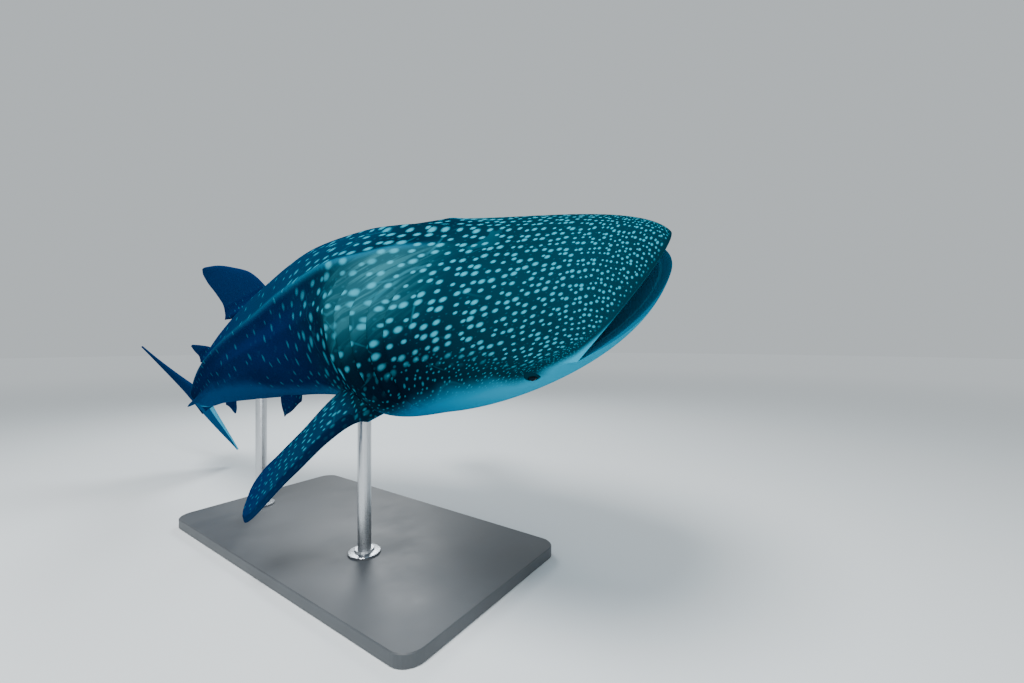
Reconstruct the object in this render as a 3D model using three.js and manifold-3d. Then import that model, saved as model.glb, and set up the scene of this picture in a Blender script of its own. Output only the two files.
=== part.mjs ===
// Whale shark: a still, life-size museum model, caught in a slow banked turn with its mouth
// a little open, held by a plain display stand of a flat base and two short rods.
// Millimetres, +Z up. +X is the way the shark heads, and its right side faces -Y and leans down.
// The origin lies under the middle of the stand's base, at floor level.
//
// A place on the shark is written as (station, side, height), all as shares of the total length:
// the station runs from 0 at the snout to 1 at the tip of the tail, side is positive to the left
// and height is positive towards the back. place() sets such a place on the bent spine.

import * as THREE from "three";
import { mergeVertices } from "three/addons/utils/BufferGeometryUtils.js";
import Module from "manifold-3d";

const wasm = await Module();
wasm.setup();

// Driving dimensions
const TOTAL_LENGTH = 7000;
const GAP = 0.3;
const PIVOT_STATION = 0.3;
const PIVOT = new THREE.Vector3(450, 0, 1760);
const PITCH_UP = 7.9;
const BANK = 22.8;

// The bend of the spine away from its direction at the pivot: station, yaw, pitch, roll in degrees
const SPINE_BEND = [
  [0, -2.5, -6, 11],
  [0.15, 0.5, -7, 9],
  [0.3, 0, 0, 0],
  [0.45, 9.4, 2.5, 1],
  [0.6, 0.6, 6, 3],
  [0.75, -4.5, 10, 5.4],
  [0.9, -9.4, 10, 5.4],
  [1.05, -9.4, 10, 5.4],
];
const SPINE_STEP = 0.005;

// The trunk: station, height above the spine, depth below it, half width
const TRUNK = [
  [0.16, 0.073, 0.063, 0.116],
  [0.22, 0.085, 0.07, 0.118],
  [0.28, 0.094, 0.068, 0.095],
  [0.36, 0.099, 0.066, 0.074],
  [0.45, 0.087, 0.057, 0.058],
  [0.55, 0.066, 0.0445, 0.048],
  [0.65, 0.0465, 0.034, 0.0355],
  [0.72, 0.0345, 0.0265, 0.0265],
  [0.78, 0.0265, 0.0217, 0.0197],
  [0.86, 0.012, 0.011, 0.006],
];
const BACK_FULLNESS = 2.2;
// How square the belly is: station, exponent of its half ellipse
const BELLY_FULLNESS = [
  [0.16, 2.6],
  [0.22, 3.2],
  [0.28, 3.2],
  [0.36, 2.7],
  [0.45, 2.4],
  [0.6, 2.2],
  [0.86, 2],
];

// The head, from the lips to where the trunk's sections take over
const HEAD_END = 0.16;
const MOUTH = {
  halfWidth: 0.094,
  cornerStation: 0.0391,
  squareness: 2.2,
  upperLip: 0.0334,
  lowerLip: 0.0091,
  corner: 0.005,
  jawSetBack: 0.0036,
  cavity: 0.019,
  throatStation: 0.125,
  throatHeight: 0.002,
};
// How the head's skin leaves the lips: back along the body, up or down, and out to the side
const LIP_SLOPE = { upperBack: 0.225, lowerBack: 0.35, upperRise: 0.08, lowerDrop: 0.111, sideways: 0.22 };
const JAW_CUT = { station: 0.05, slope: 0.9, end: 0.155 };

// Ridges along the body: the station and the angle from the back in degrees
const RIDGE_PATHS = [
  [
    [0.16, 12],
    [0.2, 20],
    [0.23, 31],
    [0.26, 39],
    [0.3, 46],
    [0.37, 52],
    [0.45, 54],
    [0.86, 56],
  ],
  [
    [0.16, 54],
    [0.25, 64],
    [0.37, 73],
    [0.6, 74],
    [0.86, 75],
  ],
  [
    [0.16, 90],
    [0.3, 86],
    [0.6, 90],
    [0.86, 90],
  ],
];
const RIDGE_HEIGHTS = [0.0076, 0.0022, 0.0014];
const RIDGE_SPREADS = [6.5, 4, 4];
const RIDGE_CREST = 0.8;
const RIDGE_FOOT = 4.5;
const KEEL = { height: 0.014, spread: 4 };
const BACK_RIDGE = { height: 0.003, spread: 3.5 };

// Gill slits: five flaps on each side, each lifted off the groove behind it
const GILLS = {
  count: 5,
  first: 0.176,
  pitch: 0.0155,
  lift: 0.0026,
  liftGrowth: 0.0004,
  thickness: 0.0013,
  depth: 0.0036,
  top: 51,
  bottom: 104,
  rise: 3,
  fade: 9,
};

// Stations of the thin cuts that part the body
const CUTS = { head: 0.165, gills: 0.3, front: 0.43, middle: 0.6, rear: 0.735 };

const COLUMNS_PER_SIDE = 24;

// A fin's thickness at its tip as a share of that at its root
const FIN_TIP = 0.3;

// Fins whose plane holds the spine: rows of height, leading edge station, trailing edge station
const FIRST_DORSAL = {
  thickness: 0.0085,
  steps: 11,
  rows: [
    [0.05, 0.458, 0.532],
    [0.07, 0.458, 0.534],
    [0.0735, 0.458, 0.562],
    [0.08, 0.459, 0.5575],
    [0.095, 0.463, 0.55],
    [0.11, 0.472, 0.551],
    [0.125, 0.495, 0.5535],
    [0.136, 0.518, 0.5525],
    [0.142, 0.54, 0.548],
  ],
};
const SECOND_DORSAL = {
  thickness: 0.0055,
  steps: 8,
  rows: [
    [0.03, 0.638, 0.686],
    [0.043, 0.638, 0.688],
    [0.046, 0.639, 0.706],
    [0.055, 0.648, 0.7],
    [0.065, 0.67, 0.703],
    [0.0735, 0.693, 0.702],
  ],
};
const ANAL = {
  thickness: 0.0045,
  steps: 8,
  rows: [
    [0.014, 0.688, 0.722],
    [0.027, 0.688, 0.724],
    [0.03, 0.689, 0.736],
    [0.038, 0.699, 0.733],
    [0.045, 0.712, 0.734],
    [0.05, 0.727, 0.733],
  ],
};
const TAIL_UPPER = {
  thickness: 0.0105,
  steps: 13,
  rows: [
    [-0.02, 0.775, 0.93],
    [0, 0.79, 0.927],
    [0.03, 0.83, 0.932],
    [0.06, 0.874, 0.946],
    [0.09, 0.915, 0.964],
    [0.12, 0.953, 0.982],
    [0.145, 0.982, 0.996],
    [0.155, 0.994, 1.0],
  ],
};
const TAIL_LOWER = {
  thickness: 0.0105,
  steps: 12,
  rows: [
    [-0.02, 0.775, 0.93],
    [0, 0.795, 0.926],
    [0.03, 0.818, 0.915],
    [0.06, 0.832, 0.9],
    [0.085, 0.844, 0.885],
    [0.104, 0.856, 0.873],
    [0.111, 0.862, 0.868],
  ],
};

// Paired fins: the middle of the root, the tip, and rows of span, leading edge, trailing edge
const PECTORAL = {
  root: [0.262, -0.097, -0.045],
  tip: [0.4, -0.179, -0.102],
  rows: [
    [-0.06, -0.022, 0.03],
    [-0.03, -0.02, 0.033],
    [0, -0.018, 0.034],
    [0.02, -0.0165, 0.033],
    [0.04, -0.018, 0.0315],
    [0.08, -0.0235, 0.026],
    [0.12, -0.024, 0.0285],
    [0.145, -0.022, 0.0325],
    [0.16, -0.0175, 0.0315],
    [0.17, -0.011, 0.0265],
    [0.176, -0.001, 0.0165],
  ],
  thickness: 0.0085,
  droop: 0.006,
  steps: 16,
};
const PELVIC = {
  root: [0.479, -0.033, -0.046],
  tip: [0.499, -0.038, -0.0705],
  rows: [
    [-0.02, -0.012, 0.012],
    [0, -0.0155, 0.0145],
    [0.012, -0.0115, 0.0135],
    [0.022, -0.005, 0.01],
    [0.029, 0.001, 0.0055],
    [0.032, 0.0025, 0.004],
  ],
  thickness: 0.005,
  droop: 0,
  steps: 8,
};

// Eyes, nostrils and spiracles: places on the head by share of its length and angle from the back
const EYE = { along: 0.3, angle: 105, radius: 22, sink: 7, rim: 6 };
const NOSTRIL = { along: 0.035, angle: 33, radius: 15, flap: 14 };
const SPIRACLE = { along: 0.46, angle: 92, radius: 13 };

// The stand
const BASE = { length: 3000, width: 1500, height: 80, corner: 120, bevel: 6 };
const ROD = { radius: 48, stations: [0.315, 0.55], reach: 160 };
const COLLAR = { radius: 115, height: 34, neck: 72 };
const ROUND_SIDES = 20;

const SKIN = { dark: 0x17383f, flank: 0x1f464c, pale: 0xc9d6d4, roughness: 0.55 };

// Small helpers

function smoothstep(from, to, value) {
  const t = THREE.MathUtils.clamp((value - from) / (to - from), 0, 1);
  return t * t * (3 - 2 * t);
}

// The angle between a direction round the body and the middle of the back, in degrees, 0 to 180
function fromBack(angle) {
  return Math.abs(THREE.MathUtils.euclideanModulo(THREE.MathUtils.radToDeg(angle) + 180, 360) - 180);
}

function signedPower(value, exponent) {
  return Math.sign(value) * Math.abs(value) ** exponent;
}

// A smooth curve through one column of a table that keeps each rise and fall of the table
function curveThrough(rows, column) {
  const x = rows.map((row) => row[0]);
  const y = rows.map((row) => row[column]);
  const last = x.length - 1;
  const slopes = x.slice(1).map((value, i) => (y[i + 1] - y[i]) / (value - x[i]));
  const tangents = x.map((_, i) => {
    if (i === 0) return slopes[0];
    if (i === last) return slopes[last - 1];
    if (slopes[i - 1] * slopes[i] <= 0) return 0;
    const before = x[i] - x[i - 1];
    const after = x[i + 1] - x[i];
    const w1 = 2 * after + before;
    const w2 = after + 2 * before;
    return (w1 + w2) / (w1 / slopes[i - 1] + w2 / slopes[i]);
  });
  return (value) => {
    const at = THREE.MathUtils.clamp(value, x[0], x[last]);
    let i = 0;
    while (i < last - 1 && at > x[i + 1]) i += 1;
    const width = x[i + 1] - x[i];
    const t = (at - x[i]) / width;
    return (
      (1 + 2 * t) * (1 - t) ** 2 * y[i] +
      t * (1 - t) ** 2 * width * tangents[i] +
      t * t * (3 - 2 * t) * y[i + 1] +
      t * t * (t - 1) * width * tangents[i + 1]
    );
  };
}

// The spine: a point and three directions at each step along it

function spineFrames() {
  const [yaw, pitch, roll] = [1, 2, 3].map((column) => curveThrough(SPINE_BEND, column));
  const attitude = new THREE.Matrix4()
    .makeRotationY(-THREE.MathUtils.degToRad(PITCH_UP))
    .multiply(new THREE.Matrix4().makeRotationX(THREE.MathUtils.degToRad(BANK)));
  const up = new THREE.Vector3(0, 0, 1);
  const frames = [];
  for (let i = 0; i <= 1.05 / SPINE_STEP + 0.5; i += 1) {
    const station = i * SPINE_STEP;
    const [y, p, r] = [yaw, pitch, roll].map((curve) => THREE.MathUtils.degToRad(curve(station)));
    const level = Math.cos(p);
    const forward = new THREE.Vector3(level * Math.cos(y), level * Math.sin(y), Math.sin(p));
    const left = new THREE.Vector3().crossVectors(up, forward).normalize();
    left.applyAxisAngle(forward, r);
    const over = new THREE.Vector3().crossVectors(forward, left);
    for (const axis of [forward, left, over]) axis.applyMatrix4(attitude);
    frames.push({ forward, left, over, point: new THREE.Vector3() });
  }
  for (let i = 1; i < frames.length; i += 1) {
    const heading = frames[i].forward.clone().add(frames[i - 1].forward).multiplyScalar(0.5);
    frames[i].point.copy(frames[i - 1].point).addScaledVector(heading, -SPINE_STEP * TOTAL_LENGTH);
  }
  const shift = PIVOT.clone().sub(frames[Math.round(PIVOT_STATION / SPINE_STEP)].point);
  for (const frame of frames) frame.point.add(shift);
  return frames;
}

const SPINE = spineFrames();

function frameAt(station) {
  const steps = THREE.MathUtils.clamp(station / SPINE_STEP, -5, SPINE.length - 1.001);
  const i = Math.max(0, Math.floor(steps));
  const t = steps - i;
  const mix = (key) => SPINE[i][key].clone().lerp(SPINE[i + 1][key], t);
  return { forward: mix("forward"), left: mix("left"), over: mix("over"), point: mix("point") };
}

function place([station, side, height]) {
  const frame = frameAt(station);
  return frame.point
    .addScaledVector(frame.left, side * TOTAL_LENGTH)
    .addScaledVector(frame.over, height * TOTAL_LENGTH);
}

// The body's own form

const backHeight = curveThrough(TRUNK, 1);
const bellyDepth = curveThrough(TRUNK, 2);
const halfWidth = curveThrough(TRUNK, 3);
const bellyFullness = curveThrough(BELLY_FULLNESS, 1);
const ridgeAngles = RIDGE_PATHS.map((path) => curveThrough(path, 1));

// How far the ridges stand out at a station and at an angle in degrees from the back, 0 to 180
function ridgeLift(station, degrees) {
  const away = ridgeAngles.map((angle) => degrees - angle(station));
  const [upper, middle, lower] = away.map(
    (distance, i) => RIDGE_HEIGHTS[i] * Math.exp(-Math.hypot(distance, RIDGE_CREST) / RIDGE_SPREADS[i]),
  );
  const mound = (distance, { height, spread }) => height * Math.exp(-((distance / spread) ** 2));
  const fadeIn = smoothstep(0.16, 0.24, station);
  const tail = smoothstep(0.62, 0.78, station) * (1 - smoothstep(0.81, 0.86, station));
  const thin = 1 - 0.5 * smoothstep(0.5, 0.8, station);
  const alongBack = smoothstep(0.1, 0.2, station) * (1 - smoothstep(0.42, 0.46, station));
  return (
    fadeIn * thin * (upper + middle * (1 - tail) + lower) +
    tail * mound(away[2], KEEL) +
    alongBack * mound(degrees, BACK_RIDGE)
  );
}

// A point of the trunk at a station and an angle from the back, turning towards the right side
function trunkPoint(station, angle, lift = 0) {
  const c = Math.cos(angle);
  const s = Math.sin(angle);
  const fullness = c > 0 ? BACK_FULLNESS : bellyFullness(station);
  const height = c > 0 ? backHeight(station) : bellyDepth(station);
  const width = halfWidth(station);
  const side = -width * signedPower(s, 2 / fullness);
  const up = height * signedPower(c, 2 / fullness);
  const outward = new THREE.Vector2(side / width ** 2, up / height ** 2).normalize();
  const out = lift + ridgeLift(station, fromBack(angle));
  return [station, side + outward.x * out, up + outward.y * out];
}

// The loop of the lips: the upper lip for angles near the back, the lower one near the belly
function lipPoint(angle) {
  const c = Math.cos(angle);
  const across = Math.abs(Math.sin(angle)) ** 0.75;
  const open = 1 - across ** 2.4;
  const lip = c > 0 ? MOUTH.upperLip : MOUTH.lowerLip;
  const setBack = c > 0 ? 0 : MOUTH.jawSetBack * open;
  return [
    MOUTH.cornerStation * across ** MOUTH.squareness + setBack,
    -MOUTH.halfWidth * Math.sign(Math.sin(angle)) * across,
    MOUTH.corner * across ** 3 + lip * open,
  ];
}

// The height half way between the lips, at a share of the mouth's half width
function gapeHeight(across) {
  const share = Math.min(1, Math.abs(across));
  const middle = (MOUTH.upperLip + MOUTH.lowerLip) / 2;
  return MOUTH.corner * share ** 3 + middle * (1 - share ** 2.4);
}

// A point of the head's outside, from the lips at along 0 to the trunk at along 1
function headPoint(along, angle) {
  const from = lipPoint(angle);
  const to = trunkPoint(HEAD_END, angle);
  const beyond = trunkPoint(HEAD_END + 0.004, angle);
  const c = Math.cos(angle);
  const s = Math.sin(angle);
  const length = HEAD_END - from[0];
  const back = c > 0 ? LIP_SLOPE.upperBack : LIP_SLOPE.lowerBack;
  const start = [
    length * (back + (1 - back) * s * s),
    -Math.sign(s) * length * LIP_SLOPE.sideways * s * s,
    c * (c > 0 ? LIP_SLOPE.upperRise : LIP_SLOPE.lowerDrop),
  ];
  const [sideways, upwards] = [1, 2].map((axis) => ((beyond[axis] - to[axis]) / 0.004) * length);
  const end = [length * 1.1, sideways, upwards];
  const t = along;
  const left = (1 - t) ** 2;
  const done = t ** 2;
  return from.map(
    (value, i) =>
      (1 + 2 * t) * left * value + t * left * start[i] + done * (3 - 2 * t) * to[i] + done * (t - 1) * end[i],
  );
}

// A point of the mouth's lining, from the lips at inward 0 to the throat at inward 1
function mouthPoint(inward, angle) {
  const [station, side, height] = lipPoint(angle);
  const c = Math.cos(angle);
  const middle = gapeHeight(side / MOUTH.halfWidth);
  const roof = MOUTH.cavity * signedPower(c, 0.8) * (1 - 0.45 * inward);
  const rise = smoothstep(0, 0.3, inward);
  const half = (height - middle) * (1 - rise) + roof * rise;
  return [
    station + (MOUTH.throatStation - station) * inward,
    side * (1 - 0.05 * smoothstep(0, 0.08, inward) - 0.34 * inward),
    middle * (1 - inward) + MOUTH.throatHeight * inward + half,
  ];
}

// How strongly a gill flap shows at an angle from the back; the last flaps end above the fin's root
function gillWindow(index, angle) {
  const degrees = fromBack(angle);
  const { top, rise, fade } = GILLS;
  const bottom = GILLS.bottom - rise * index;
  const opens = smoothstep(top - fade, top + fade, degrees);
  return opens * (1 - smoothstep(bottom - fade, bottom + fade, degrees));
}

// The rings of one gill flap: where each ring lies on plain skin, and where the flap takes it
function gillRings(index) {
  const at = GILLS.first + index * GILLS.pitch;
  const lift = GILLS.lift + index * GILLS.liftGrowth;
  return [
    { plain: at - 0.007, station: at - 0.0055, lift: lift * 0.6 },
    { plain: at - 0.002, station: at + 0.0015, lift },
    { plain: at - 0.0008, station: at + 0.0013, lift: lift - GILLS.thickness },
    { plain: at + 0.0006, station: at - 0.003, lift: -GILLS.depth },
    { plain: at + 0.003, station: at + 0.002, lift: -GILLS.depth * 0.83 },
  ];
}

// The angles of a ring's columns, so that a column runs along each ridge's crest
function columnAngles(station) {
  const [upper, middle, lower] = ridgeAngles.map((angle) => angle(station));
  const w = RIDGE_FOOT;
  const marks = [
    [0, 0],
    [1, w / 2],
    [3, upper - w],
    [4, upper],
    [5, upper + w],
    [8, middle - w],
    [9, middle],
    [10, middle + w],
    [13, lower - w],
    [14, lower],
    [15, lower + w],
    [COLUMNS_PER_SIDE, 180],
  ];
  const half = [];
  for (let column = 0; column <= COLUMNS_PER_SIDE; column += 1) {
    const i = Math.max(1, marks.findIndex((mark) => mark[0] >= column));
    const t = (column - marks[i - 1][0]) / (marks[i][0] - marks[i - 1][0]);
    half.push(THREE.MathUtils.lerp(marks[i - 1][1], marks[i][1], t));
  }
  const whole = half.concat(half.slice(1, -1).reverse().map((angle) => 360 - angle));
  return whole.map(THREE.MathUtils.degToRad);
}

// The rings of the whole body, from the throat out over the lips and back to the tail

function bodyRings(swell) {
  const rings = [];
  const headAngles = columnAngles(HEAD_END);
  for (const inward of [1, 0.75, 0.5, 0.28, 0.12, 0.04]) {
    rings.push(headAngles.map((angle) => mouthPoint(inward, angle)));
  }
  for (const along of [0, 0.03, 0.08, 0.15, 0.24, 0.34, 0.44, 0.54, 0.64, 0.74, 0.83, 0.92, 1]) {
    rings.push(headAngles.map((angle) => headPoint(along, angle)));
  }
  for (let index = 0; index < GILLS.count; index += 1) {
    for (const ring of gillRings(index)) {
      rings.push(
        columnAngles(ring.plain).map((angle) => {
          const share = gillWindow(index, angle);
          const station = THREE.MathUtils.lerp(ring.plain, ring.station, share);
          return trunkPoint(station, angle, ring.lift * share + swell);
        }),
      );
    }
  }
  const afterGills = GILLS.first + (GILLS.count - 1) * GILLS.pitch + 0.016;
  const steps = 24;
  for (let i = 0; i <= steps; i += 1) {
    const station = THREE.MathUtils.lerp(afterGills, 0.86, i / steps);
    rings.push(columnAngles(station).map((angle) => trunkPoint(station, angle, swell)));
  }
  return rings;
}

// Closed meshes and their joins and cuts

// A solid from vertices and triangles, turned round if its faces point inwards
function solidOf(vertices, triangles) {
  const make = (corners) =>
    new wasm.Manifold(
      new wasm.Mesh({
        numProp: 3,
        vertProperties: new Float32Array(vertices.flatMap((v) => [v.x, v.y, v.z])),
        triVerts: new Uint32Array(corners.flat()),
      }),
    );
  const made = make(triangles);
  return made.volume() > 0 ? made : make(triangles.map(([a, b, c]) => [a, c, b]));
}

// A closed skin over rings of equally many points, with a middle point at each end
function loft(rings, mirrorFrom = Infinity) {
  const count = rings[0].length;
  const vertices = rings.flat();
  const triangles = [];
  const middle = (ring) =>
    ring.reduce((sum, point) => sum.add(point), new THREE.Vector3()).divideScalar(count);
  for (let i = 0; i + 1 < rings.length; i += 1) {
    for (let j = 0; j < count; j += 1) {
      const k = (j + 1) % count;
      const [a, b, c, d] = [i * count + j, i * count + k, (i + 1) * count + k, (i + 1) * count + j];
      if (j < mirrorFrom) triangles.push([a, b, c], [a, c, d]);
      else triangles.push([a, b, d], [b, c, d]);
    }
  }
  const ends = [0, rings.length - 1];
  for (const end of ends) {
    const hub = vertices.push(middle(rings[end])) - 1;
    for (let j = 0; j < count; j += 1) {
      const edge = [end * count + j, end * count + ((j + 1) % count)];
      if (end === 0) edge.reverse();
      triangles.push([hub, ...edge]);
    }
  }
  return solidOf(vertices, triangles);
}

function fromGeometry(geometry) {
  geometry.deleteAttribute("normal");
  geometry.deleteAttribute("uv");
  const merged = mergeVertices(geometry);
  const position = merged.getAttribute("position");
  const vertices = [];
  for (let i = 0; i < position.count; i += 1) {
    vertices.push(new THREE.Vector3().fromBufferAttribute(position, i));
  }
  const triangles = [];
  for (let i = 0; i < merged.index.count; i += 3) {
    triangles.push(Array.from(merged.index.array.subarray(i, i + 3)));
  }
  return solidOf(vertices, triangles);
}

function largest(solid) {
  return solid.decompose().reduce((best, piece) => (piece.volume() > best.volume() ? piece : best));
}

// A block that holds all of the shark on one side of a station, or a slab across it
function crossBlock(from, to, reach = 1) {
  const frame = frameAt((from + to) / 2);
  const size = reach * TOTAL_LENGTH;
  const block = new THREE.BoxGeometry((to - from) * TOTAL_LENGTH, size, size);
  const basis = new THREE.Matrix4().makeBasis(frame.forward, frame.left, frame.over);
  block.applyMatrix4(basis.setPosition(frame.point));
  return fromGeometry(block);
}

// The space below the line of the mouth, out to where the lower jaw ends
function jawSpace(margin) {
  const cutHeight = (station, side) =>
    gapeHeight(side / MOUTH.halfWidth) -
    Math.max(0, station - JAW_CUT.station) * JAW_CUT.slope +
    margin / TOTAL_LENGTH;
  const stations = [-0.03, 0.005, 0.02, 0.035, 0.05, 0.07, 0.1, JAW_CUT.end];
  const sides = 16;
  const rings = stations.map((station) => {
    const ring = [];
    for (let i = 0; i <= sides; i += 1) {
      const side = THREE.MathUtils.lerp(-0.14, 0.14, i / sides);
      ring.push(place([station, side, cutHeight(station, side)]));
    }
    for (let i = sides; i >= 0; i -= 1) {
      ring.push(place([station, THREE.MathUtils.lerp(-0.14, 0.14, i / sides), -0.16]));
    }
    return ring;
  });
  return loft(rings);
}

// A fin as rows of thin rounded sections. chord points back, span points out, normal across.
function finSolid({ rows, origin, chord, span, normal, thickness, droop, steps }) {
  const lead = curveThrough(rows, 1);
  const trail = curveThrough(rows, 2);
  const first = rows[0][0];
  const last = rows[rows.length - 1][0];
  const around = 9;
  const sections = [];
  for (let i = 0; i <= steps; i += 1) {
    const t = 1 - (1 - i / steps) ** 1.35;
    const out = THREE.MathUtils.lerp(first, last, t);
    const half = THREE.MathUtils.lerp(thickness, thickness * FIN_TIP, smoothstep(0, last, out)) / 2;
    const bend = -droop * Math.max(0, out / last) ** 2;
    const point = (u, face) => {
      const back = THREE.MathUtils.lerp(lead(out), trail(out), u);
      const profile = 2.6 * Math.sqrt(u) * (1 - u) ** 0.9 * (1 - 0.25 * u) + 0.09 * Math.sin(Math.PI * u);
      const off = bend + face * half * Math.min(1, profile);
      return place(origin.map((value, k) => value + chord[k] * back + span[k] * out + normal[k] * off));
    };
    const across = Array.from({ length: around + 1 }, (_, k) => 0.5 - 0.5 * Math.cos((Math.PI * k) / around));
    const upper = across.slice(0, -1).map((u) => point(u, 1));
    const lower = across.slice(1).reverse().map((u) => point(u, -1));
    sections.push(upper.concat(lower));
  }
  return loft(sections, around);
}

function middleFin({ rows, thickness, steps }, direction) {
  return finSolid({
    rows,
    origin: [0, 0, 0],
    chord: [1, 0, 0],
    span: [0, 0, direction],
    normal: [0, 1, 0],
    thickness,
    droop: 0,
    steps,
  });
}

function pairedFin({ root, tip, rows, thickness, droop, steps }, mirror) {
  const flip = (v) => [v.x, v.y * mirror, v.z];
  const start = new THREE.Vector3(...root);
  const span = new THREE.Vector3(...tip).sub(start).normalize();
  const back = new THREE.Vector3(1, 0, 0);
  const chord = back.addScaledVector(span, -back.dot(span)).normalize();
  const normal = new THREE.Vector3().crossVectors(chord, span).normalize();
  if (normal.z < 0) normal.negate();
  return finSolid({
    rows,
    origin: flip(start),
    chord: flip(chord),
    span: flip(span),
    normal: flip(normal),
    thickness,
    droop,
    steps,
  });
}

// A ball or a ring set on the head, its axis along the skin's own normal

function headSpot(along, angle) {
  const turn = THREE.MathUtils.degToRad(angle);
  const at = place(headPoint(along, turn));
  const ahead = place(headPoint(along + 0.02, turn)).sub(at);
  const round = place(headPoint(along, turn + 0.03)).sub(at);
  const normal = new THREE.Vector3().crossVectors(ahead, round).normalize();
  const centre = frameAt(headPoint(along, turn)[0]).point;
  if (normal.dot(at.clone().sub(centre)) < 0) normal.negate();
  const tangent = ahead.normalize();
  const other = new THREE.Vector3().crossVectors(normal, tangent).normalize();
  return { at, basis: new THREE.Matrix4().makeBasis(tangent, other, normal) };
}

function ball(spot, radii, shift = 0) {
  const geometry = new THREE.SphereGeometry(1, 14, 9);
  geometry.scale(...radii).translate(0, 0, shift);
  geometry.applyMatrix4(spot.basis.clone().setPosition(spot.at));
  return fromGeometry(geometry);
}

// The raised rim of skin round an eye
function eyeRim(spot) {
  const { radius, rim, sink } = EYE;
  const profile = [
    [0, -30],
    [radius + rim * 2.6, -30],
    [radius + rim * 2.6, -4],
    [radius + rim * 1.6, 3],
    [radius + rim * 0.6, 6.5 - sink * 0.2],
    [radius * 0.8, 4],
    [0, 4],
  ];
  const geometry = new THREE.LatheGeometry(profile.map(([x, y]) => new THREE.Vector2(x, y)), 20);
  geometry.rotateX(Math.PI / 2);
  geometry.applyMatrix4(spot.basis.clone().setPosition(spot.at));
  return fromGeometry(geometry);
}

// Parts of the head

function sideAngle(angle, mirror) {
  return mirror > 0 ? angle : 360 - angle;
}

function withFace(head) {
  let made = head;
  for (const mirror of [1, -1]) {
    const eye = headSpot(EYE.along, sideAngle(EYE.angle, mirror));
    const room = EYE.radius + GAP;
    made = made.add(eyeRim(eye)).subtract(ball(eye, [room, room, room], -EYE.sink));
    const nostril = headSpot(NOSTRIL.along, sideAngle(NOSTRIL.angle, mirror));
    const { radius, flap } = NOSTRIL;
    made = made.subtract(ball(nostril, [radius * 1.4, radius, radius]));
    made = made.add(ball(nostril, [flap * 0.8, flap * 0.55, flap * 0.8], -flap * 0.55));
    const spiracle = headSpot(SPIRACLE.along, sideAngle(SPIRACLE.angle, mirror));
    made = made.subtract(ball(spiracle, [SPIRACLE.radius, SPIRACLE.radius * 0.6, SPIRACLE.radius]));
  }
  return largest(made);
}

function eyeBall(mirror) {
  const spot = headSpot(EYE.along, sideAngle(EYE.angle, mirror));
  return ball(spot, [EYE.radius, EYE.radius, EYE.radius], -EYE.sink);
}

// The stand

function standBase() {
  const { length, width, height, corner, bevel } = BASE;
  const x = length / 2 - bevel;
  const y = width / 2 - bevel;
  const outline = new THREE.Shape();
  outline.moveTo(corner - x, -y);
  outline.lineTo(x - corner, -y);
  outline.absarc(x - corner, corner - y, corner, -Math.PI / 2, 0);
  outline.lineTo(x, y - corner);
  outline.absarc(x - corner, y - corner, corner, 0, Math.PI / 2);
  outline.lineTo(corner - x, y);
  outline.absarc(corner - x, y - corner, corner, Math.PI / 2, Math.PI);
  outline.lineTo(-x, corner - y);
  outline.absarc(corner - x, corner - y, corner, Math.PI, Math.PI * 1.5);
  const settings = {
    depth: height - 2 * bevel,
    bevelThickness: bevel,
    bevelSize: bevel,
    bevelSegments: 1,
    curveSegments: 4,
  };
  return fromGeometry(new THREE.ExtrudeGeometry(outline, settings).translate(0, 0, bevel));
}

// Where a rod stands: right under the lowest point of the belly at its station
function rodFoot(station) {
  let lowest = null;
  for (let degrees = 90; degrees <= 270; degrees += 2) {
    const point = place(trunkPoint(station, THREE.MathUtils.degToRad(degrees)));
    if (!lowest || point.z < lowest.z) lowest = point;
  }
  return lowest;
}

function standRod(station, body) {
  const belly = rodFoot(station);
  const foot = BASE.height + GAP;
  const height = belly.z + ROD.reach - foot;
  const rod = new THREE.CylinderGeometry(ROD.radius, ROD.radius, height, ROUND_SIDES);
  rod.rotateX(Math.PI / 2).translate(belly.x, belly.y, foot + height / 2);
  return largest(fromGeometry(rod).subtract(body));
}

function standCollar(station) {
  const belly = rodFoot(station);
  const inner = ROD.radius + GAP;
  const profile = [
    [inner, 0],
    [COLLAR.radius, 0],
    [COLLAR.radius, 10],
    [COLLAR.radius - 4, 14],
    [COLLAR.neck, 18],
    [COLLAR.neck - 6, COLLAR.height],
    [inner, COLLAR.height],
    [inner, 0],
  ];
  const collar = new THREE.LatheGeometry(profile.map(([x, y]) => new THREE.Vector2(x, y)), ROUND_SIDES);
  collar.rotateX(Math.PI / 2).translate(belly.x, belly.y, BASE.height + GAP);
  return fromGeometry(collar);
}

// The whole body, parted by thin cuts into the lengths that a person names

function bodySolid(swell) {
  return loft(bodyRings(swell / TOTAL_LENGTH).map((ring) => ring.map(place)));
}

// The room the body needs, a gap wider all round, which what grows from it or bears it keeps clear of
function bodyRoom() {
  const swollen = bodySolid(GAP);
  const ahead = frameAt(PIVOT_STATION).forward.multiplyScalar(GAP);
  const steps = [ahead, ahead.clone().negate()];
  return steps.reduce((sum, step) => sum.add(swollen.translate(step.toArray())), swollen);
}

function partedBody(body) {
  const stations = Object.values(CUTS);
  const thin = GAP / TOTAL_LENGTH / 2;
  const names = ["head", "gill_region", "trunk_front", "trunk_middle", "trunk_rear", "tail_stalk"];
  const cut = stations.reduce((rest, s) => rest.subtract(crossBlock(s - thin, s + thin)), body);
  const pieces = cut.decompose().filter((piece) => piece.volume() > 1e6);
  const reach = (piece) => {
    const box = piece.boundingBox();
    return (box.min[0] + box.max[0]) / 2;
  };
  pieces.sort((a, b) => reach(b) - reach(a));
  return Object.fromEntries(names.map((name, i) => [name, pieces[i]]));
}

// Meshes and the model

const model = new THREE.Group();

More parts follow.
